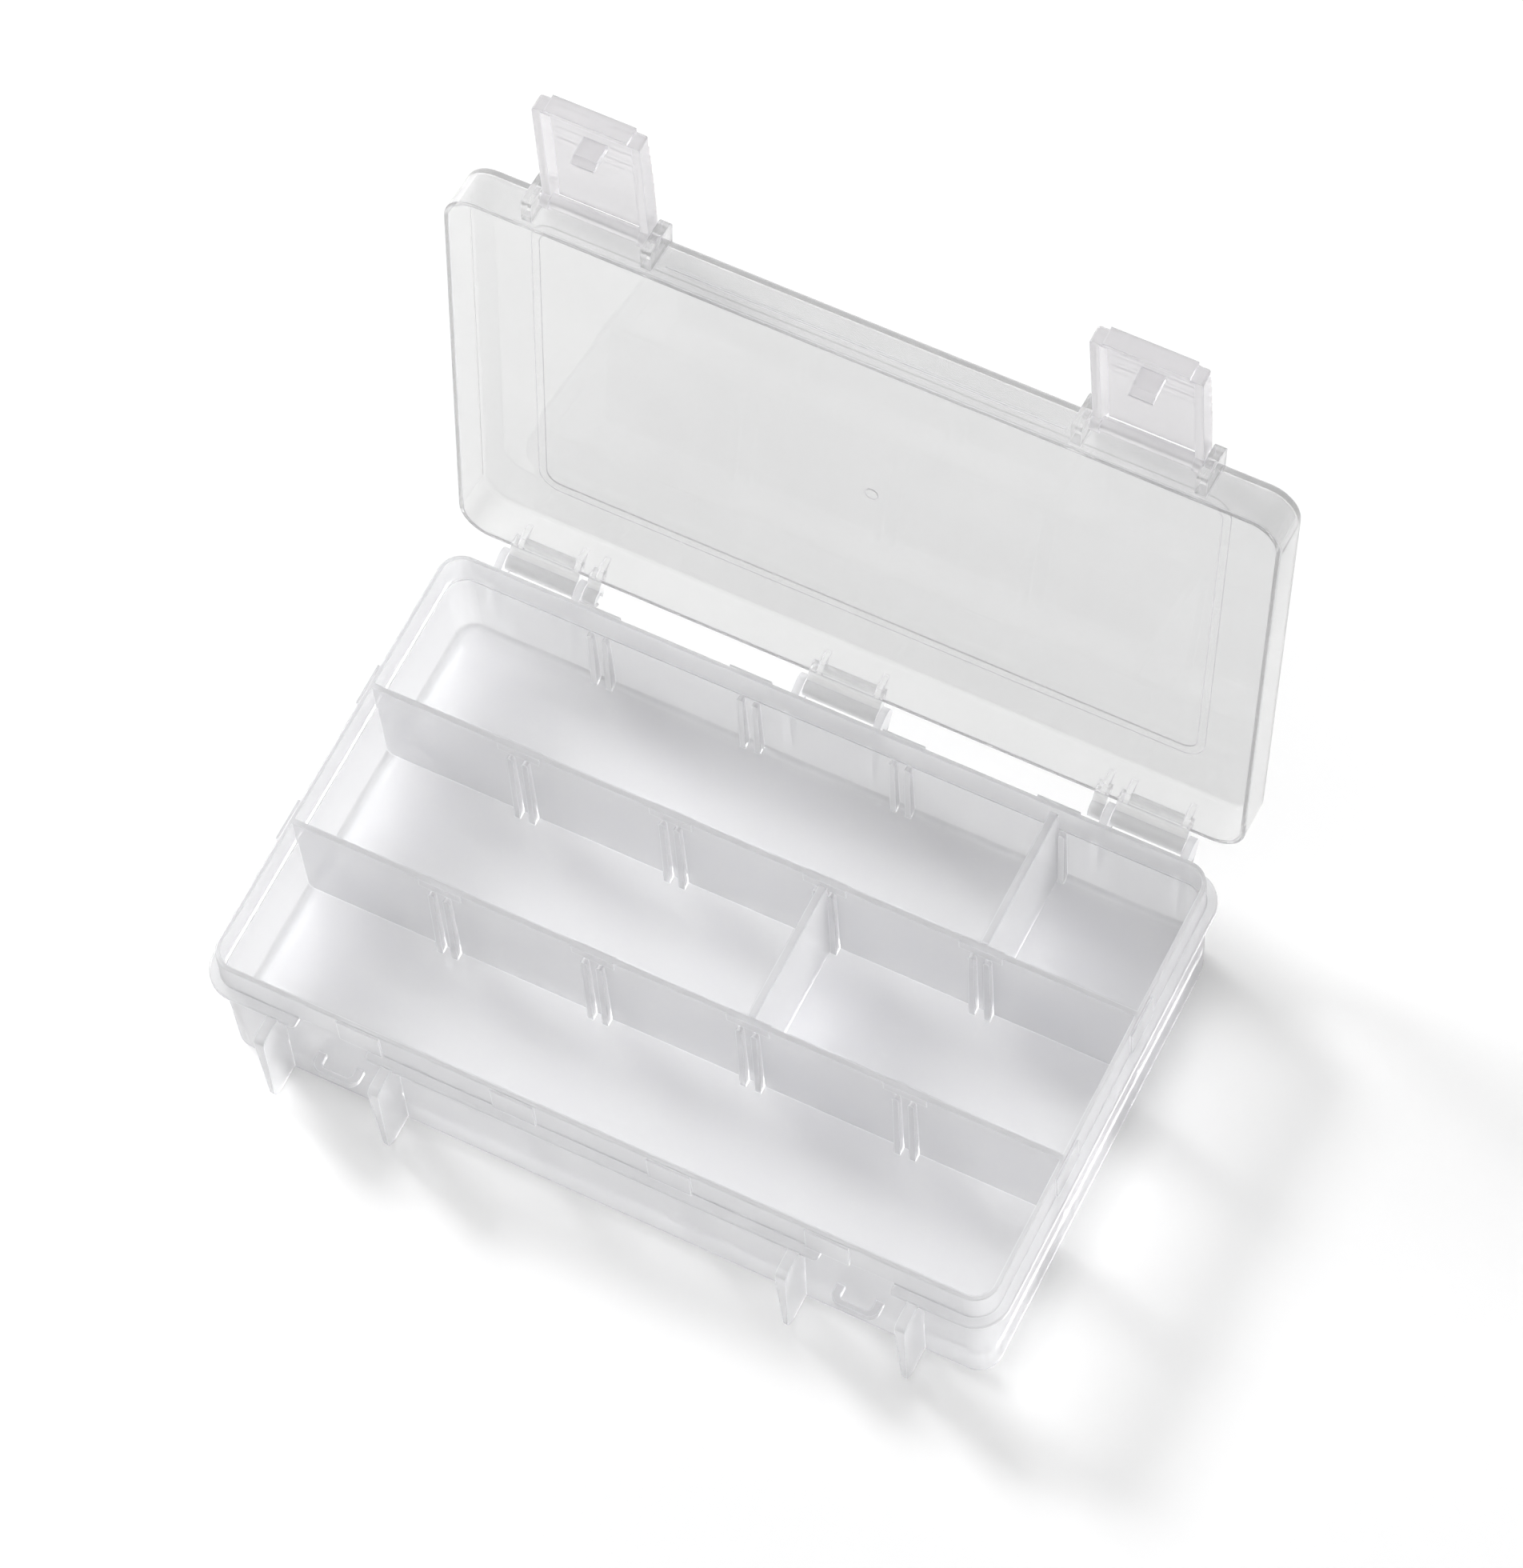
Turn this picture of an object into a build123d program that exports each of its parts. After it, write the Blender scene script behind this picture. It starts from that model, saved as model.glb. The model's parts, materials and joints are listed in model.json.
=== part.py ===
"""Compartment tackle box of translucent polypropylene, standing open.

Units are millimetres. X runs along the box, +Y to the hinge side, +Z up.
The origin is the centre of the base underside, on the surface that the box stands on.
The lid and the latches are modelled shut and then swung to the open pose.
"""
import os
from math import atan, cos, degrees, radians, sin

from build123d import *

# Tray: the lip is the plain upper part that the lid slides over, and the ledge is the flange that the lid lands on.
tray_length = 193.0
tray_width = 115.8
tray_height = 40.9
lip_corner = 5.9
lip_thickness = 1.1
lip_edge_round = 0.35
ledge_top = 31.8
ledge_thickness = 1.1
ledge_reach = 2.55
ledge_edge_round = 0.45
ledge_gap_corner = 1.2
lip_cove = 0.5
foot_inset = 0.25
floor_top = 9.7
floor_thickness = 1.6
skirt_thickness = 1.2
floor_fillet = 1.7
wall_crease_z = 31.5
wall_step = 0.3
cavity_inset = 0.1
wall_overlap = 0.6

# Compartments: two long dividers, and paired ribs that hold the loose cross dividers.
long_divider_y = 18.95
long_divider_top = 1.35
long_divider_foot = 1.8
rib_stations = (-57.9, -19.3, 19.3, 57.9)
rib_width = 1.5
rib_slot = 2.3
rib_reach_top = 1.3
rib_reach_foot = 2.3
rib_root = 0.4
wall_rib_top = 31.4
divider_rib_top = 37.4
pad_length = 10.6
pad_reach = 0.6
divider_pad_reach = 0.22
divider_pad_height = 3.0
cross_divider_thickness = 1.9
cross_divider_gap = 0.35
cross_divider_drop = 0.4
cross_divider_foot_round = 2.1
cross_divider_top_round = 0.6

# Latch stations on the front wall.
latch_x = 65.0
guard_inner_top = 13.1
guard_inner_foot = 14.2
guard_outer_top = 15.8
guard_outer_foot = 15.15
guard_reach_top = 9.1
guard_reach_foot = 9.0
guard_top_z = 31.5
guard_foot_z = 0.7
guard_shoulder_round = 1.8
guard_tip_round = 3.2
ledge_gap_half = 8.8
catch_width = 11.4
catch_reach = 4.42
catch_bar = 1.3
catch_leg = 1.85
catch_underside = 14.9
catch_height = 2.0
catch_corner = 2.5

# Snap hinge: rods moulded with the tray, sleeves moulded with the lid.
hinge_y = 65.3
hinge_z = 30.97
hinge_rod_radius = 1.3
knuckle_radius = 2.5
knuckle_low_angle = -33.0
knuckle_high_angle = 117.0
knuckle_thickness = 1.9
gusset_foot_z = 15.5
web_top_z = 31.4
web_top_reach = 2.7
sleeve_radius = 2.35
sleeve_bore_radius = 1.38
sleeve_end_gap = 0.2
sleeve_mouth_angle = 20.0
sleeve_mouth_width = 1.9
end_hinge_outer = 88.0
end_hinge_inner = 66.0
clip_inner = 62.5
middle_hinge_half = 11.3

# Lid, in its shut position.
lid_open_angle = 97.7
lid_rim_z = 31.85
lid_top = 43.0
lid_corner = 7.9
lid_wall = 1.2
lid_panel = 1.3
lid_wall_inset = 0.1
lid_edge_round = 1.2
border_length = 167.2
border_width = 95.4
border_corner = 5.5
border_band_x = 1.9
border_band_y = 2.5
border_height = 0.45
gate_radius = 1.6
gate_height = 0.3
pull_rib_half = 47.0
pull_rib_z = 35.4
pull_rib_height = 0.8
pull_rib_reach = 0.5
bracket_inner = 13.1
bracket_thickness = 2.6
bracket_low_z = 33.0
bracket_reach = 6.12
bracket_round = 1.5
lid_gusset_thickness = 1.4
lid_gusset_z = 38.8

# Latch, hanging in its shut position below its own rod.
latch_y = -63.76
latch_z = 38.2
latch_open_angle_left = 83.5
latch_open_angle_right = 80.5
latch_width = 25.6
latch_length = 35.2
latch_depth = 4.4
latch_face = 4.1
latch_plate = 1.4
latch_crown = 0.6
latch_side = 2.1
latch_end_wall = 1.4
latch_end_corner = 0.6
latch_face_corner = 1.0
latch_lip_half = 9.85
latch_lip_step = 0.8
latch_head = 1.6
latch_rod_radius = 1.7
stud_radius = 1.2
stud_length = 1.9
stud_bore_radius = 1.28
stud_bore_depth = 1.75
hook_width = 5.5
hook_reach = 6.0
hook_thickness = 1.7
hook_gap = 0.2
grip_ridges = 4
grip_first = 18.4
grip_pitch = 4.3
grip_half = 10.4
grip_width = 2.3
grip_height = 0.35

half_length = tray_length / 2
half_width = tray_width / 2
inner_wall_y = half_width - lip_thickness - wall_step
lid_length = tray_length + 2 * ledge_reach
lid_width = tray_width + 2 * ledge_reach
wall_draft = degrees(atan(foot_inset / (ledge_top - ledge_thickness)))
cavity_draft = degrees(atan(cavity_inset / (wall_crease_z - floor_top)))
lid_draft = degrees(atan(lid_wall_inset / (lid_top - lid_rim_z)))


def rounded_block(length, width, corner, low, high, draft=0.0):
    """A block with round upright corners; a positive draft widens it upwards."""
    outline = RectangleRounded(length, width, corner)
    return Pos(0, 0, low) * extrude(outline, amount=high - low, taper=-draft)


def plate_across_x(points, x_low, x_high, rounds=()):
    """A plate square to X, from its outline in Y and Z; rounds is a list of corner numbers and radii."""
    outline = Polygon(*points, align=None)
    for corner, radius in rounds:
        target = Vector(*points[corner])
        vertex = min(outline.vertices(), key=lambda v: (Vector(v.X, v.Y) - target).length)
        outline = fillet(vertex, radius)
    side = Plane(origin=(x_low, 0, 0), x_dir=(0, 1, 0), z_dir=(1, 0, 0))
    return extrude(side * outline, amount=x_high - x_low, dir=(1, 0, 0))


def round_bar(radius, x_low, x_high, y, z):
    """A round bar along X."""
    side = Plane(origin=(x_low, y, z), x_dir=(0, 1, 0), z_dir=(1, 0, 0))
    return extrude(side * Circle(radius), amount=x_high - x_low)


def swing(shape, angle, y, z):
    """Turn a shape about an axis along X through y and z."""
    return Pos(0, y, z) * Rot(X=angle) * Pos(0, -y, -z) * shape


def tray_walls():
    """Floor, walls, skirt, lip and ledge of the tray."""
    foot_length = tray_length - 2 * foot_inset
    foot_width = tray_width - 2 * foot_inset
    low_wall = rounded_block(foot_length, foot_width, lip_corner - foot_inset, 0, ledge_top, wall_draft)
    lip = rounded_block(tray_length, tray_width, lip_corner, ledge_top - ledge_thickness, tray_height)
    lip = fillet(lip.edges().group_by(Axis.Z)[-1], lip_edge_round)
    pad_height = tray_height - lip_edge_round - ledge_top
    for station in rib_stations:
        lip += Pos(station, 0, ledge_top + pad_height / 2) * Box(pad_length, tray_width + 2 * pad_reach, pad_height)
    for side in (-1, 1):
        place = Pos(0, side * long_divider_y, ledge_top + pad_height / 2)
        lip += place * Box(tray_length + 2 * pad_reach, pad_length, pad_height)

    ledge = RectangleRounded(lid_length, lid_width, lip_corner + ledge_reach)
    for side in (-1, 1):
        ledge -= Pos(side * latch_x, -lid_width / 2) * Rectangle(2 * ledge_gap_half, 2 * ledge_reach)
    nibs = ledge.vertices().filter_by(
        lambda v: abs(v.Y + lid_width / 2) < 0.01 and abs(abs(abs(v.X) - latch_x) - ledge_gap_half) < 0.01)
    ledge = fillet(nibs, ledge_gap_corner)
    ledge = Pos(0, 0, ledge_top - ledge_thickness) * extrude(ledge, amount=ledge_thickness)
    ledge = fillet(ledge.edges().group_by(Axis.Z)[-1], ledge_edge_round)
    cove = rounded_block(tray_length + 2 * lip_cove, tray_width + 2 * lip_cove, lip_corner + lip_cove,
                         ledge_top - lip_cove, ledge_top + lip_cove, -degrees(atan(0.5)))
    for side in (-1, 1):
        cove -= Pos(side * latch_x, -half_width) * Box(2 * ledge_gap_half, 4 * lip_cove, 3 * tray_height)

    wall_inset = lip_thickness + wall_step + cavity_inset
    cavity = rounded_block(tray_length - 2 * wall_inset, tray_width - 2 * wall_inset, lip_corner - lip_thickness,
                           floor_top, wall_crease_z, cavity_draft)
    cavity = fillet(cavity.edges().group_by(Axis.Z)[0], floor_fillet)
    cavity += rounded_block(tray_length - 2 * lip_thickness, tray_width - 2 * lip_thickness,
                            lip_corner - lip_thickness, wall_crease_z, tray_height + 1)
    under = rounded_block(foot_length - 2 * skirt_thickness, foot_width - 2 * skirt_thickness,
                          lip_corner - foot_inset - skirt_thickness, -1, floor_top - floor_thickness)
    return low_wall + lip + ledge + cove - cavity - under


def rib(face_y, outward, x, top):
    """One upright rib with a round top, standing on a wall or divider face and deeper at its foot."""
    foot = floor_top - floor_thickness / 2
    root = face_y - outward * rib_root
    points = [(root, foot), (face_y + outward * rib_reach_foot, foot), (face_y + outward * rib_reach_top, top),
              (root, top)]
    bar = plate_across_x(points, x - rib_width / 2, x + rib_width / 2)
    straight = top - foot - rib_width / 2
    front = Pos(x, foot + straight / 2) * SlotCenterToCenter(straight, rib_width, rotation=90)
    return bar & extrude(Plane.XZ * front, amount=half_width, both=True)


def compartments():
    """The two long dividers with their pads, and every rib pair."""
    low = floor_top - floor_thickness / 2
    shapes = []
    for side in (-1, 1):
        y = side * long_divider_y
        half_top = long_divider_top / 2
        half_foot = long_divider_foot / 2
        points = [(y - half_foot, low), (y + half_foot, low), (y + half_top, tray_height), (y - half_top, tray_height)]
        reach = half_length - lip_thickness / 2
        shapes.append(plate_across_x(points, -reach, reach))
        for station in rib_stations:
            place = Pos(station, y, tray_height - divider_pad_height / 2)
            pad = Box(pad_length, long_divider_top + 2 * divider_pad_reach, divider_pad_height)
            shapes.append(place * pad)

    for station in rib_stations:
        for step in (-1, 1):
            x = station + step * (rib_slot + rib_width) / 2
            for side in (-1, 1):
                shapes.append(rib(side * inner_wall_y, -side, x, wall_rib_top))
                for face in (-1, 1):
                    y = side * long_divider_y + face * long_divider_top / 2
                    shapes.append(rib(y, face, x, divider_rib_top))
    return shapes


def latch_station(x):
    """Two guard ears and the catch loop that one latch closes between."""
    shapes = []
    wall_y = -half_width + wall_overlap
    points = [(wall_y, guard_foot_z), (wall_y, guard_top_z), (-half_width - guard_reach_top, guard_top_z),
              (-half_width - guard_reach_foot, guard_foot_z)]
    profile = plate_across_x(points, -2 * guard_outer_top, 2 * guard_outer_top,
                             rounds=((2, guard_shoulder_round), (3, guard_tip_round)))
    for side in (-1, 1):
        front = Polygon((side * guard_inner_foot, 0), (side * guard_outer_foot, 0),
                        (side * guard_outer_top, ledge_top), (side * guard_inner_top, ledge_top), align=None)
        shapes.append(Pos(x, 0, 0) * (profile & extrude(Plane.XZ * front, amount=tray_width, both=True)))

    front_y = -half_width - catch_reach
    depth = wall_y - front_y
    loop = Pos(x, front_y + depth / 2) * Rectangle(catch_width, depth)
    loop = fillet(loop.vertices().group_by(Axis.Y)[0], catch_corner)
    hole_depth = depth - catch_bar
    hole = Pos(x, front_y + catch_bar + hole_depth / 2) * Rectangle(catch_width - 2 * catch_leg, hole_depth)
    hole = fillet(hole.vertices().group_by(Axis.Y)[0], catch_corner - catch_bar)
    shapes.append(Pos(0, 0, catch_underside) * extrude(loop - hole, amount=catch_height))
    return shapes


def hinge_knuckle(x_low, x_high):
    """A round knuckle plate on the rear wall with its tapered gusset."""
    wall_y = half_width - wall_overlap
    low = radians(knuckle_low_angle)
    high = radians(knuckle_high_angle)
    points = [(wall_y, gusset_foot_z), (half_width + 0.3, gusset_foot_z),
              (hinge_y + knuckle_radius * cos(low), hinge_z + knuckle_radius * sin(low)), (hinge_y, hinge_z),
              (hinge_y + knuckle_radius * cos(high), hinge_z + knuckle_radius * sin(high)),
              (half_width + web_top_reach, web_top_z), (wall_y, web_top_z)]
    web = plate_across_x(points, x_low, x_high)
    return web + round_bar(knuckle_radius, x_low, x_high, hinge_y, hinge_z)


def tray_hinges():
    """Knuckles and rods of the three hinge stations."""
    shapes = []
    for side in (-1, 1):
        for x in (end_hinge_outer - knuckle_thickness / 2, end_hinge_inner + knuckle_thickness / 2):
            low = side * x - knuckle_thickness / 2
            shapes.append(hinge_knuckle(low, low + knuckle_thickness))
        ends = sorted((side * (end_hinge_outer - 0.5), side * (clip_inner + 0.4)))
        shapes.append(round_bar(hinge_rod_radius, *ends, hinge_y, hinge_z))
        low = side * (middle_hinge_half - knuckle_thickness / 2) - knuckle_thickness / 2
        shapes.append(hinge_knuckle(low, low + knuckle_thickness))
    middle = middle_hinge_half - 0.5
    shapes.append(round_bar(hinge_rod_radius, -middle, middle, hinge_y, hinge_z))
    return shapes


def lid_shell():
    """Lid panel and walls, with the line border, the gate mark and the pull rib."""
    outer = rounded_block(lid_length, lid_width, lid_corner, lid_rim_z, lid_top, -lid_draft)
    outer = fillet(outer.edges().group_by(Axis.Z)[-1], lid_edge_round)
    inner = rounded_block(lid_length - 2 * lid_wall, lid_width - 2 * lid_wall, lid_corner - lid_wall,
                          lid_rim_z, lid_top - lid_panel, -lid_draft)
    inner = fillet(inner.edges().group_by(Axis.Z)[-1], lid_edge_round - 0.4)
    border = RectangleRounded(border_length, border_width, border_corner)
    border -= RectangleRounded(border_length - 2 * border_band_x, border_width - 2 * border_band_y,
                               border_corner - border_band_x)
    border = Pos(0, 0, lid_top) * extrude(border, amount=border_height)
    gate = Pos(0, 0, lid_top + gate_height / 2) * Cylinder(gate_radius, gate_height)
    rib_y = -lid_width / 2
    rib_points = [(rib_y - pull_rib_reach, pull_rib_z), (rib_y + 0.8, pull_rib_z),
                  (rib_y + 0.8, pull_rib_z + pull_rib_height), (rib_y - pull_rib_reach + 0.3, pull_rib_z + pull_rib_height)]
    pull_rib = plate_across_x(rib_points, -pull_rib_half, pull_rib_half)
    return outer + pull_rib + border + gate - inner


def lid_brackets(x):
    """The two plates that one latch turns between, with blind bores for its studs."""
    wall_y = -lid_width / 2 + 1.0
    front_y = -lid_width / 2 - bracket_reach
    points = [(wall_y, bracket_low_z), (front_y, bracket_low_z), (front_y, lid_top), (wall_y, lid_top)]
    shapes = []
    for side in (-1, 1):
        ends = sorted((side * bracket_inner, side * (bracket_inner + bracket_thickness)))
        plate = plate_across_x(points, *ends, rounds=((1, bracket_round), (2, bracket_round)))
        bore_ends = sorted((side * (bracket_inner - 1), side * (bracket_inner + stud_bore_depth)))
        plate -= round_bar(stud_bore_radius, *bore_ends, latch_y, latch_z)
        shapes.append(Pos(x, 0, 0) * plate)
    return shapes


def lid_sleeve(x_low, x_high):
    """A sleeve that snaps over the tray's rod, open at the back, on a web from the lid's rear wall."""
    wall_y = lid_width / 2 - 0.8
    points = [(wall_y, lid_rim_z + 0.45), (lid_width / 2, lid_rim_z + 0.45), (hinge_y - sleeve_radius + 0.05, hinge_z),
              (hinge_y, hinge_z), (hinge_y - 0.6, hinge_z + 2.25), (lid_width / 2, lid_rim_z + 3.2),
              (wall_y, lid_rim_z + 3.2)]
    sleeve = plate_across_x(points, x_low, x_high) + round_bar(sleeve_radius, x_low, x_high, hinge_y, hinge_z)
    sleeve -= round_bar(sleeve_bore_radius, x_low - 1, x_high + 1, hinge_y, hinge_z)
    mouth = Pos((x_low + x_high) / 2, hinge_y + 2.5, hinge_z) * Box(x_high - x_low + 2, 5, sleeve_mouth_width)
    return sleeve - swing(mouth, sleeve_mouth_angle, hinge_y, hinge_z)


def lid_gusset(x):
    """A thin fin that braces a sleeve against the lid's rear wall."""
    wall_y = lid_width / 2 - 1.0
    points = [(wall_y, lid_rim_z + 2.0), (hinge_y - 1.0, hinge_z + 1.9), (hinge_y - 0.2, hinge_z + 2.33),
              (lid_width / 2 - 0.2, lid_gusset_z), (wall_y, lid_gusset_z)]
    return plate_across_x(points, x - lid_gusset_thickness / 2, x + lid_gusset_thickness / 2)


def lid_hinges():
    """Sleeves, clips and fins of the three hinge stations."""
    shapes = []
    outer = end_hinge_outer - knuckle_thickness - sleeve_end_gap
    inner = end_hinge_inner + knuckle_thickness + sleeve_end_gap
    clip_outer = end_hinge_inner - sleeve_end_gap
    for side in (-1, 1):
        for pair in ((outer, inner), (clip_outer, clip_inner)):
            ends = sorted(side * x for x in pair)
            shapes.append(lid_sleeve(*ends))
        for x in (84.2, 69.6, 64.0, 7.3):
            shapes.append(lid_gusset(side * x))
    middle = middle_hinge_half - knuckle_thickness - sleeve_end_gap
    shapes.append(lid_sleeve(-middle, middle))
    return shapes


def latch():
    """One latch, shut, centred on X = 0: a shallow crowned tray with its rod, studs, hook and grip ridges."""
    half = latch_width / 2
    face_y = latch_y - latch_face
    inner_y = face_y + latch_plate
    back_y = face_y + latch_depth
    head_z = latch_z + latch_head
    low_z = latch_z - latch_length
    body_low_z = low_z + latch_lip_step
    middle_z = (head_z + body_low_z) / 2
    crown = ThreePointArc((face_y, body_low_z), (face_y - latch_crown, middle_z), (face_y - latch_crown / 2, head_z))
    edges = crown + Polyline(crown @ 1, (back_y, head_z), (back_y, body_low_z), crown @ 0)
    side_view = Plane(origin=(-half, 0, 0), x_dir=(0, 1, 0), z_dir=(1, 0, 0)) * make_face(edges)
    block = extrude(side_view, amount=latch_width, dir=(1, 0, 0))
    body = fillet(block.edges().filter_by(Axis.Y).group_by(Axis.Z)[0], latch_end_corner)
    long_corners = body.edges().filter_by(GeomType.CIRCLE).filter_by(lambda e: e.length > latch_length / 2)
    body = fillet(long_corners, latch_face_corner)
    end_lip = Box(2 * latch_lip_half, latch_depth, 2)
    body += Pos(0, (face_y + back_y) / 2, low_z + 1) * end_lip

    hollow_low = low_z + latch_end_wall
    hollow_half = half - latch_side
    hollow = Pos(0, 0, (hollow_low + head_z + 5) / 2) * Box(2 * hollow_half, tray_width * 2, head_z + 5 - hollow_low)
    behind_plate = Pos(0, latch_plate, 0) * block
    behind_plate += Pos(0, inner_y + 5, (head_z + low_z) / 2) * Box(latch_width, 10, 2 * latch_length)
    body -= hollow & behind_plate
    for side in (-1, 1):
        ends = sorted((side * hollow_half, side * half))
        body += round_bar(latch_rod_radius + 0.5, *ends, latch_y, latch_z)
    body += round_bar(latch_rod_radius, -half, half, latch_y, latch_z)
    body += round_bar(stud_radius, -half - stud_length, half + stud_length, latch_y, latch_z)

    hook_top = catch_underside - hook_gap
    tip_y = inner_y + hook_reach
    root_y = inner_y - latch_plate / 2 - latch_crown / 2
    hook_points = [(root_y, hook_top), (tip_y, hook_top), (tip_y, hook_top - 0.6),
                   (tip_y - hook_thickness, hook_top - hook_thickness), (root_y, hook_top - hook_thickness)]
    body += plate_across_x(hook_points, -hook_width / 2, hook_width / 2)
    raised = Pos(0, -grip_height, 0) * block
    for ridge in range(grip_ridges):
        z = latch_z - grip_first - ridge * grip_pitch
        outline = Pos(0, z) * SlotOverall(2 * grip_half, grip_width)
        ridge_bar = Pos(0, face_y + latch_plate / 2, 0) * extrude(Plane.XZ * outline, amount=latch_depth)
        body += raised & ridge_bar
    return body


def cross_divider(x, y_low, y_high):
    """A loose plate that slides down between two rib pairs and stands on the floor."""
    top = tray_height - cross_divider_drop
    size = (cross_divider_thickness, y_high - y_low, top - floor_top)
    plate = Pos(x, (y_low + y_high) / 2, (top + floor_top) / 2) * Box(*size)
    corners = plate.edges().filter_by(Axis.X).group_by(Axis.Z)[0]
    plate = fillet(corners, cross_divider_foot_round)
    return fillet(plate.edges().filter_by(Axis.X).group_by(Axis.Z)[-1], cross_divider_top_round)


def write(name, shape):
    export_step(shape, f"parts/{name}.step")


def shut_latch_to_open(shape, angle):
    shape = swing(shape, -angle, latch_y, latch_z)
    return swing(shape, -lid_open_angle, hinge_y, hinge_z)


os.makedirs("parts", exist_ok=True)

walls = tray_walls()
cut_back = rounded_block(tray_length - lip_thickness, tray_width - lip_thickness, lip_corner - lip_thickness / 2,
                         floor_top - floor_thickness / 2, tray_height)
tray = walls
tray += [shape & cut_back for shape in compartments()]
for side in (-1, 1):
    tray += latch_station(side * latch_x)
tray += tray_hinges()
write("tray", tray)

lid = lid_shell()
for side in (-1, 1):
    lid += lid_brackets(side * latch_x)
lid += lid_hinges()
write("lid", swing(lid, -lid_open_angle, hinge_y, hinge_z))

write("latch_left", Pos(-latch_x, 0, 0) * shut_latch_to_open(latch(), latch_open_angle_left))
write("latch_right", Pos(latch_x, 0, 0) * shut_latch_to_open(latch(), latch_open_angle_right))

slot_end = inner_wall_y - cavity_inset - cross_divider_gap
divider_face = long_divider_y + long_divider_foot / 2 + cross_divider_gap
inner_face = long_divider_y - long_divider_foot / 2 - cross_divider_gap
write("cross_divider_rear", cross_divider(rib_stations[3], divider_face, slot_end))
write("cross_divider_middle", cross_divider(rib_stations[2], -inner_face, inner_face))
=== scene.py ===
"""Compartment tackle box moulded in translucent polypropylene, standing open on a matt white board.

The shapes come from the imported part. This script gives them their plastic, and adds the board, the light and
the camera. Lengths are metres in the part's own frame: X along the box, +Y towards the hinge, +Z up.
"""
import json
import math

import bpy
from mathutils import Matrix, Vector

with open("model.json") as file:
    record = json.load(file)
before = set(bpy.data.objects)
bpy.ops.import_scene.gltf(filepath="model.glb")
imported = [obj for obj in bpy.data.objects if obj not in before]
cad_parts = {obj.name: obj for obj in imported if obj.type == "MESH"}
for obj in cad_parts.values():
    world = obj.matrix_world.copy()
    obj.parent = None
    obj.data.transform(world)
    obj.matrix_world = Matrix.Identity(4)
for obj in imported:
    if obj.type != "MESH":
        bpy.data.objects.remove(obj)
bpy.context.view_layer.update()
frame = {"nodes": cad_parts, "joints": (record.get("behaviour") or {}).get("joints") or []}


# Tray: the one moulding that holds the compartments, with its ribs, guard ears, catch loops and hinge rods.
# Natural polypropylene without pigment, about 1.2 mm thick, left as it came from a satin mould.
MM = 0.001

lid_hinge = next(joint for joint in frame["joints"] if joint["name"] == "lid_hinge")
hinge_pin = Vector(lid_hinge["pos_m"])

# A Mix node has sockets for every kind of value. These are the numbers of those for colours.
first_colour = 6
second_colour = 7
mixed_colour = 2


def sheet_colour(hexcode):
    """An sRGB colour written in hex, turned to the linear values that shaders take."""
    levels = [int(hexcode[i:i + 2], 16) / 255 for i in (1, 3, 5)]
    return [c / 12.92 if c <= 0.04045 else ((c + 0.055) / 1.055) ** 2.4 for c in levels] + [1.0]


def put(tree, kind, settings=None, links=None):
    """Adds one node. A key is a property or an input's name, or its number where several share a name."""
    node = tree.nodes.new(kind)
    for key, value in (settings or {}).items():
        if isinstance(key, int) or key in node.inputs:
            node.inputs[key].default_value = value
        else:
            setattr(node, key, value)
    for key, output in (links or {}).items():
        tree.links.new(node.inputs[key], output)
    return node


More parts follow.
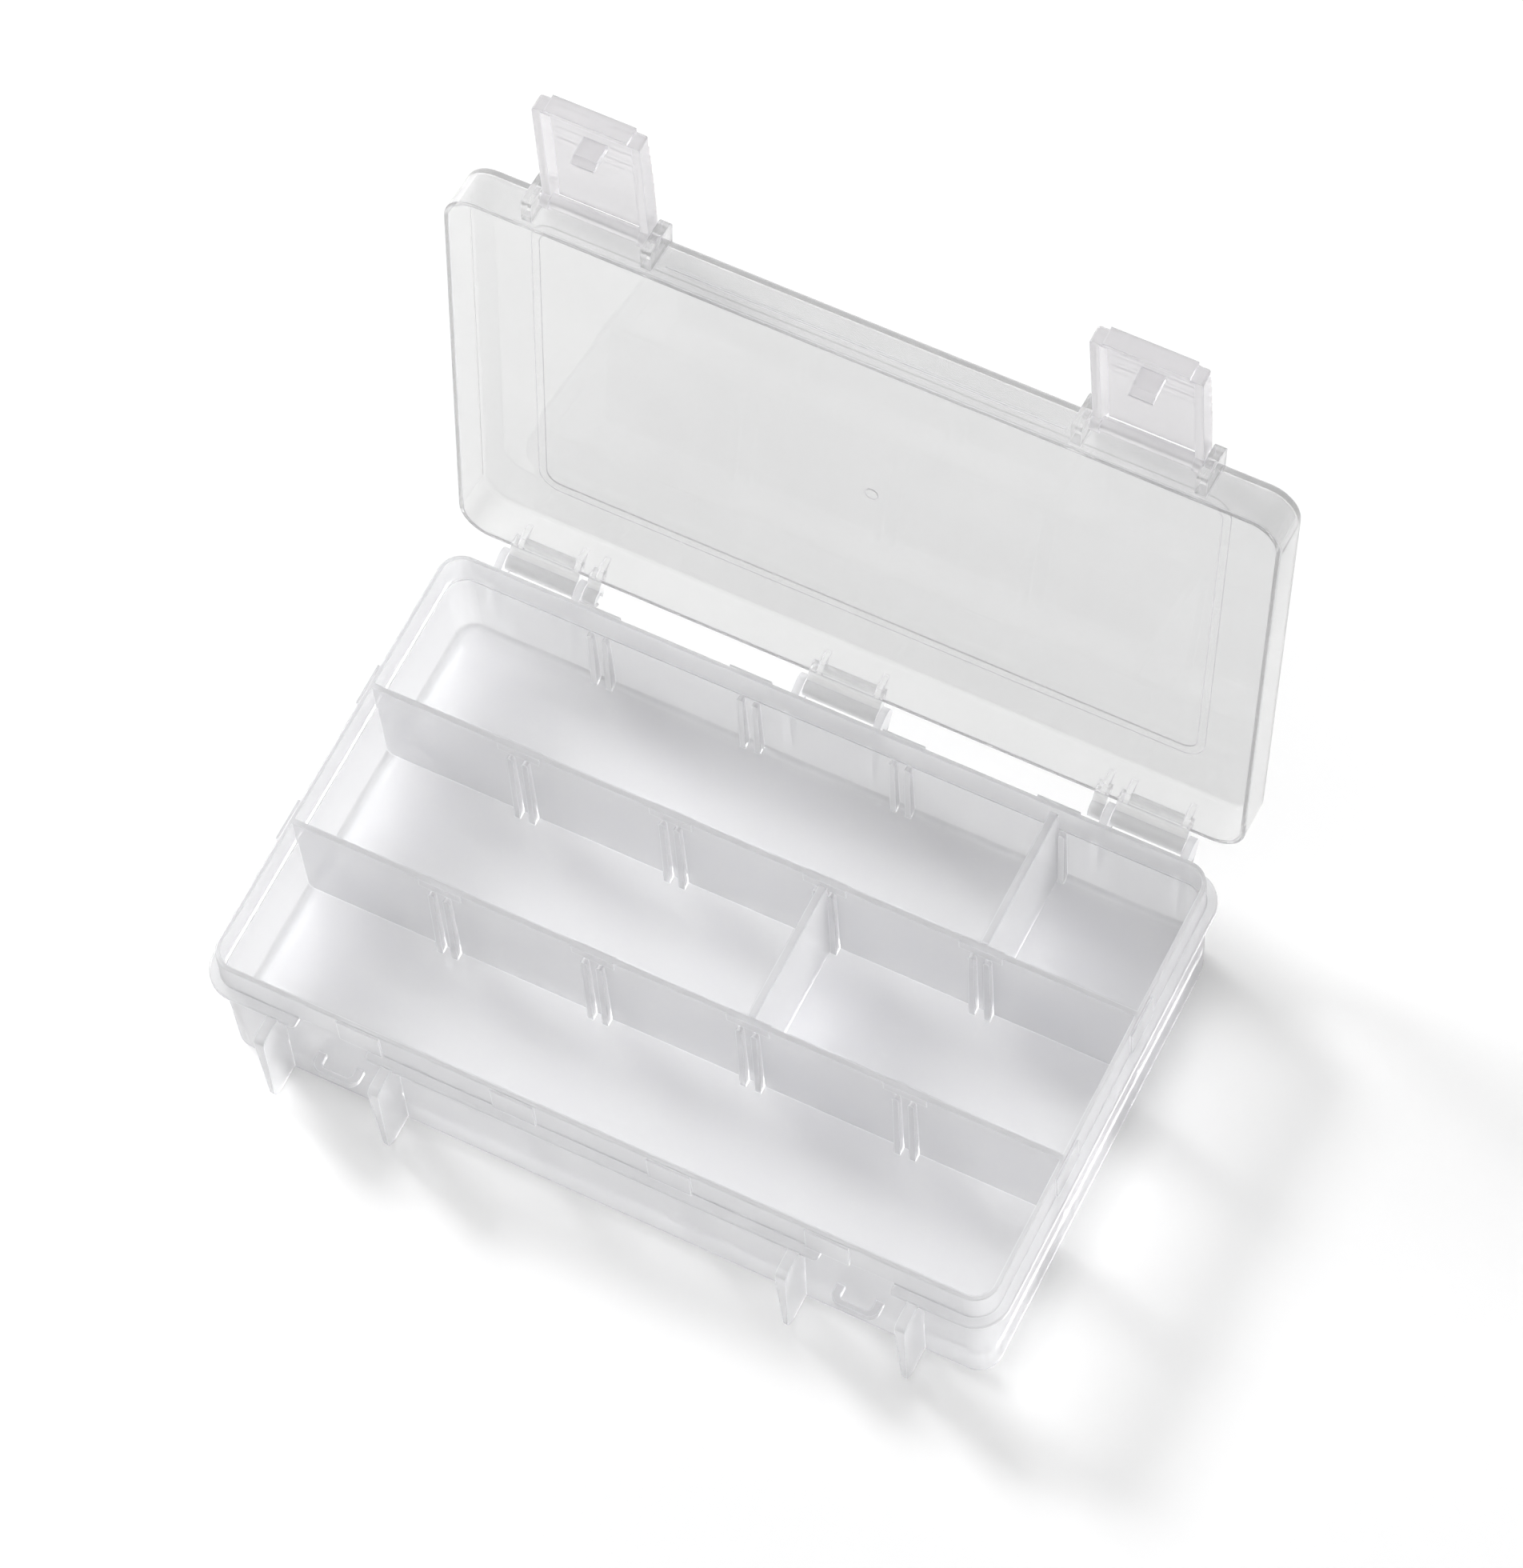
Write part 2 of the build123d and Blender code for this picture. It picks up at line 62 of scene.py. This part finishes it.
def natural_polypropylene(name, body_colour, cloud_colour, edge_tint_and_shade, clearness, milk, gloss_range,
                          lamp_through):
    """Natural polypropylene without pigment, left as it came from the mould.

    The eye sees through it as through thin mist. Soft clouds, where the melt cooled slowly, change its tint
    and its gloss a little. The mist is thicker along every edge, where light that ran along inside the wall
    comes out, and in the hinge barrels, which are three to four times as thick as the walls. Along the edges
    the mist also takes a darker edge colour: partly its own lavender tint, partly painted shade for the edges.
    """
    # The noise of the clouds runs mostly from thin to thick.
    melt_cloud = 22 * MM
    cloud_thin = 0.3
    cloud_thick = 0.7
    # The grain of a satin mould is about 0.1 mm wide. It is drawn coarser, because that wouldn't show.
    mould_grain = 0.9 * MM
    grain_depth = 0.02 * MM
    grain_strength = 0.06
    polypropylene_ior = 1.49
    # An edge lies where the rounded normal turns from the flat one, from the first cosine to the second.
    edge_reach = 0.45 * MM
    edge_samples = 4
    turn_begins = 0.99
    turn_full = 0.80
    edge_milk = 0.5
    barrel_core = 3.5 * MM
    barrel_rim = 5.5 * MM
    barrel_milk = 0.6

    plastic = bpy.data.materials.new(name)
    plastic.use_nodes = True
    tree = plastic.node_tree
    tree.nodes.clear()
    place = put(tree, "ShaderNodeTexCoord").outputs["Object"]

    cloud = put(tree, "ShaderNodeTexNoise", {"Scale": 1 / melt_cloud, "Detail": 3.0, "Roughness": 0.55},
                {"Vector": place})
    colour = put(tree, "ShaderNodeMix",
                 {"data_type": "RGBA", first_colour: sheet_colour(body_colour),
                  second_colour: sheet_colour(cloud_colour)},
                 {"Factor": cloud.outputs["Fac"]})
    gloss = put(tree, "ShaderNodeMapRange",
                {"From Min": cloud_thin, "From Max": cloud_thick,
                 "To Min": gloss_range[0], "To Max": gloss_range[1]},
                {"Value": cloud.outputs["Fac"]})
    grain = put(tree, "ShaderNodeTexNoise", {"Scale": 1 / mould_grain, "Detail": 2.0}, {"Vector": place})
    relief = put(tree, "ShaderNodeBump", {"Strength": grain_strength, "Distance": grain_depth},
                 {"Height": grain.outputs["Fac"]})
    surface = put(tree, "ShaderNodeBsdfPrincipled",
                  {"IOR": polypropylene_ior, "Transmission Weight": clearness},
                  {"Base Color": colour.outputs[mixed_colour], "Roughness": gloss.outputs["Result"],
                   "Normal": relief.outputs["Normal"]})

    rounded = put(tree, "ShaderNodeBevel", {"samples": edge_samples, "Radius": edge_reach})
    flat = put(tree, "ShaderNodeNewGeometry")
    turn = put(tree, "ShaderNodeVectorMath", {"operation": "DOT_PRODUCT"},
               {0: rounded.outputs["Normal"], 1: flat.outputs["Normal"]})
    edge = put(tree, "ShaderNodeMapRange", {"From Min": turn_begins, "From Max": turn_full},
               {"Value": turn.outputs["Value"]})
    edge_mist = put(tree, "ShaderNodeMapRange", {"To Min": milk, "To Max": edge_milk},
                    {"Value": edge.outputs["Result"]})

    from_pin = put(tree, "ShaderNodeVectorMath",
                   {"operation": "MULTIPLY_ADD", 1: (0.0, 1.0, 1.0), 2: (0.0, -hinge_pin.y, -hinge_pin.z)},
                   {0: place})
    pin_distance = put(tree, "ShaderNodeVectorMath", {"operation": "LENGTH"},
                       {0: from_pin.outputs["Vector"]})
    barrel_mist = put(tree, "ShaderNodeMapRange",
                      {"From Min": barrel_rim, "From Max": barrel_core, "To Max": barrel_milk},
                      {"Value": pin_distance.outputs["Value"]})

    mist = put(tree, "ShaderNodeMath", {"operation": "MAXIMUM"},
               {0: edge_mist.outputs["Result"], 1: barrel_mist.outputs["Result"]})
    # Along the edges the mist turns from the body colour to the darker edge colour, painted shade that draws
    # the edges.
    mist_and_shade_colour = put(tree, "ShaderNodeMix",
                      {"data_type": "RGBA", "name": "mist_and_shade_colour",
                       first_colour: sheet_colour(body_colour), second_colour: sheet_colour(edge_tint_and_shade)},
                      {"Factor": edge.outputs["Result"]})
    glow = put(tree, "ShaderNodeBsdfTranslucent",
               links={"Color": mist_and_shade_colour.outputs[mixed_colour], "Normal": relief.outputs["Normal"]})
    body = put(tree, "ShaderNodeMixShader",
               links={0: mist.outputs["Value"], 1: surface.outputs["BSDF"], 2: glow.outputs["BSDF"]})

    # Lamps shine through each face with a small loss, so that the walls cast pale shadows.
    lamp_way = put(tree, "ShaderNodeBsdfTransparent", {"Color": sheet_colour(lamp_through)})
    rays = put(tree, "ShaderNodeLightPath")
    whole = put(tree, "ShaderNodeMixShader",
                links={0: rays.outputs["Is Shadow Ray"], 1: body.outputs["Shader"],
                       2: lamp_way.outputs["BSDF"]})
    put(tree, "ShaderNodeOutputMaterial", links={"Surface": whole.outputs["Shader"]})
    return plastic


def dress(node, plastic):
    """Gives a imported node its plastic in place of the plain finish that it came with."""
    mesh = frame["nodes"][node].data
    mesh.materials.clear()
    mesh.materials.append(plastic)


# The satin mould gives the tray a soft gloss, and its walls are milkier than the lid's.
tray_plastic = natural_polypropylene("natural_polypropylene_tray", body_colour="#F2F2F3",
                                     cloud_colour="#ECECED", edge_tint_and_shade="#E6E5EA", clearness=0.80,
                                     milk=0.24, gloss_range=(0.12, 0.20), lamp_through="#D9D9D9")
dress("tray", tray_plastic)


# Lid: one moulding of the same natural polypropylene, from a mould with polished faces. Its rear sleeves turn
# on the tray's rods, and two pairs of brackets carry the latches.

# The polish gives the clearest wall, with sharp highlights. The thin grey lines along the panel's edges are
# painted shade: the edge colour turns grey on the border steps next to the panel.
lid_plastic = natural_polypropylene("natural_polypropylene_lid", body_colour="#F1F1F1",
                                    cloud_colour="#EBEBEB", edge_tint_and_shade="#E2E1E8", clearness=0.86,
                                    milk=0.10, gloss_range=(0.02, 0.05), lamp_through="#EEEEEE")
# Painted shade: the border steps near the panel's plane get a grey edge colour, so that they show as dark
# lines.
panel_edge_painted_shade = "#C0BFC7"
panel_reach = 1.6 * MM
lid_angle = math.radians(lid_hinge["range_deg"][1])
panel_normal = Vector((0.0, math.sin(lid_angle), math.cos(lid_angle)))
panel_depth = max(panel_normal.dot(vertex.co) for vertex in frame["nodes"]["lid"].data.vertices)

tree = lid_plastic.node_tree
mist_and_shade_colour = tree.nodes["mist_and_shade_colour"]
depth = put(tree, "ShaderNodeVectorMath", {"operation": "DOT_PRODUCT", 1: panel_normal},
            {0: put(tree, "ShaderNodeTexCoord").outputs["Object"]})
near_panel = put(tree, "ShaderNodeMapRange",
                 {"From Min": panel_depth - 2 * panel_reach, "From Max": panel_depth - panel_reach},
                 {"Value": depth.outputs["Value"]})
painted_panel_edge_shade = put(tree, "ShaderNodeMix",
                {"data_type": "RGBA", first_colour: mist_and_shade_colour.inputs[second_colour].default_value,
                 second_colour: sheet_colour(panel_edge_painted_shade)},
                {"Factor": near_panel.outputs["Result"]})
tree.links.new(mist_and_shade_colour.inputs[second_colour], painted_panel_edge_shade.outputs[mixed_colour])
dress("lid", lid_plastic)


# Latches: two like mouldings of the same plastic, thicker than the lid's walls and so milkier.
# Each turns on studs moulded with it, held between the lid's brackets. Their edges get a grey colour, painted
# shade that draws them against the white.
latch_plastic = natural_polypropylene("natural_polypropylene_latch", body_colour="#F1F0F1",
                                      cloud_colour="#EBEAEB", edge_tint_and_shade="#C3C2CA", clearness=0.80,
                                      milk=0.18, gloss_range=(0.06, 0.10), lamp_through="#DCDCDD")
for side in ("left", "right"):
    dress(f"latch_{side}", latch_plastic)


# Cross dividers: two loose flat plates of the same plastic, which slide down between the tray's rib pairs.
# They are as milky as the tray and a shade paler, with the same soft gloss.
divider_plastic = natural_polypropylene("natural_polypropylene_divider", body_colour="#F4F4F5",
                                        cloud_colour="#EFEFF0", edge_tint_and_shade="#E8E7EC", clearness=0.80,
                                        milk=0.24, gloss_range=(0.10, 0.18), lamp_through="#E0E0E1")
for bay in ("rear", "middle"):
    dress(f"cross_divider_{bay}", divider_plastic)


# Board: a matt white sheet that runs out of the picture under the box and keeps its shadow.
# Painted board scatters all light evenly. Where no shadow lies the camera sees pure white: a lift of its
# brightness, for the eye alone, makes up for the lamps' light, which falls off outwards.
board_half = 6.0
# A hair below the box, so that the two faces don't lie in one plane.
board_drop = 0.02 * MM
near_radius = 0.1
near_lift = 0.065
far_radius = 2.5
far_lift = 0.62
corners = [(x * board_half, y * board_half, -board_drop) for x, y in ((-1, -1), (1, -1), (1, 1), (-1, 1))]
board_mesh = bpy.data.meshes.new("white_table")
board_mesh.from_pydata(corners, [], [(0, 1, 2, 3)])
board = bpy.data.objects.new("white_table", board_mesh)
bpy.context.scene.collection.objects.link(board)


def from_the_eye(tree):
    """1 where the camera looks, also through the plastic or mirrored in it, and 0 where light is gathered."""
    rays = put(tree, "ShaderNodeLightPath")
    seen = rays.outputs["Is Camera Ray"]
    for way in ("Is Transmission Ray", "Is Glossy Ray"):
        either = put(tree, "ShaderNodeMath", {"operation": "MAXIMUM"}, {0: seen, 1: rays.outputs[way]})
        seen = either.outputs["Value"]
    before_scatter = 0.5
    direct = put(tree, "ShaderNodeMath", {"operation": "LESS_THAN", 1: before_scatter},
                 {0: rays.outputs["Diffuse Depth"]})
    kept = put(tree, "ShaderNodeMath", {"operation": "MULTIPLY"}, {0: seen, 1: direct.outputs["Value"]})
    return kept.outputs["Value"]


matt_white = bpy.data.materials.new("matt_white_board")
matt_white.use_nodes = True
tree = matt_white.node_tree
tree.nodes.clear()
paint = put(tree, "ShaderNodeBsdfDiffuse", {"Color": sheet_colour("#EDEDED")})
way_out = put(tree, "ShaderNodeVectorMath", {"operation": "LENGTH"},
              {0: put(tree, "ShaderNodeTexCoord").outputs["Object"]})
lift = put(tree, "ShaderNodeMapRange",
           {"From Min": near_radius, "From Max": far_radius, "To Min": near_lift, "To Max": far_lift},
           {"Value": way_out.outputs["Value"]})
eye_lift = put(tree, "ShaderNodeMath", {"operation": "MULTIPLY"},
               {0: from_the_eye(tree), 1: lift.outputs["Result"]})
shine = put(tree, "ShaderNodeEmission", {"Color": sheet_colour("#FFFFFF")},
            {"Strength": eye_lift.outputs["Value"]})
lifted = put(tree, "ShaderNodeAddShader", links={0: paint.outputs["BSDF"], 1: shine.outputs["Emission"]})
put(tree, "ShaderNodeOutputMaterial", links={"Surface": lifted.outputs["Shader"]})
board_mesh.materials.append(matt_white)


# Studio: a pale room that lights every side, one soft key lamp far off at the left and a little behind the
# box, and a weak fill overhead. The camera sees white all round and grey overhead, and that grey, mirrored in
# the plastic, draws its edges.
room_strength = 0.47
# The white turns to grey between two heights of the line of sight, from 0 straight out to 1 straight up.
white_below = 0.3
grey_above = 0.7
ceiling_grey = 0.65
world = bpy.data.worlds.new("pale_studio")
bpy.context.scene.world = world
world.use_nodes = True
tree = world.node_tree
tree.nodes.clear()
room = put(tree, "ShaderNodeBackground", {"Color": sheet_colour("#FFFFFF"), "Strength": room_strength})
way_up = put(tree, "ShaderNodeSeparateXYZ",
             links={"Vector": put(tree, "ShaderNodeTexCoord").outputs["Generated"]})
ceiling = put(tree, "ShaderNodeMapRange",
              {"From Min": white_below, "From Max": grey_above, "To Min": 1.0, "To Max": ceiling_grey},
              {"Value": way_up.outputs["Z"]})
backdrop = put(tree, "ShaderNodeBackground", {"Color": sheet_colour("#FFFFFF")},
               {"Strength": ceiling.outputs["Result"]})
studio = put(tree, "ShaderNodeMixShader",
             links={0: from_the_eye(tree), 1: room.outputs["Background"], 2: backdrop.outputs["Background"]})
put(tree, "ShaderNodeOutputWorld", links={"Surface": studio.outputs["Shader"]})


def softbox(name, place, width, power):
    """A square lamp that faces the box."""
    lamp = bpy.data.lights.new(name, "AREA")
    lamp.shape = "SQUARE"
    lamp.size = width
    lamp.energy = power
    holder = bpy.data.objects.new(name, lamp)
    bpy.context.scene.collection.objects.link(holder)
    holder.location = place
    holder.rotation_mode = "QUATERNION"
    holder.rotation_quaternion = (-Vector(place)).to_track_quat("-Z", "Y")


softbox("key_softbox", place=(-2.7, 0.95, 2.5), width=0.78, power=113.0)
softbox("top_fill", place=(0.1, -0.2, 1.6), width=1.6, power=4.5)


# Camera: stands in front of the box's right half and looks down steeply, with a long lens and a slight roll.
# Its place, lens and axes were solved from the straight edges of the box.
camera_place = (0.34597, -0.51177, 1.31251)
camera_right = (0.891523, 0.449924, -0.052471)
camera_up = (-0.380709, 0.807020, 0.451419)
camera_back = (0.245449, -0.382475, 0.890768)
focal_length_mm = 146.27
sensor_width_mm = 36.0
lens = bpy.data.cameras.new("studio_camera")
lens.lens = focal_length_mm
lens.sensor_width = sensor_width_mm
lens.sensor_fit = "AUTO"
lens.clip_start = 0.1
lens.clip_end = 30.0
camera = bpy.data.objects.new("studio_camera", lens)
bpy.context.scene.collection.objects.link(camera)
camera_axes = Matrix((camera_right, camera_up, camera_back)).transposed().to_4x4()
camera.matrix_world = Matrix.Translation(camera_place) @ camera_axes
bpy.context.scene.camera = camera
bpy.context.scene.view_settings.view_transform = "Standard"

# A line of sight can cross a dozen walls of the box, two faces each, and a lamp's ray twice as many.
faces_crossed = 24
bpy.context.scene.cycles.max_bounces = faces_crossed
bpy.context.scene.cycles.transmission_bounces = faces_crossed
bpy.context.scene.cycles.transparent_max_bounces = 2 * faces_crossed
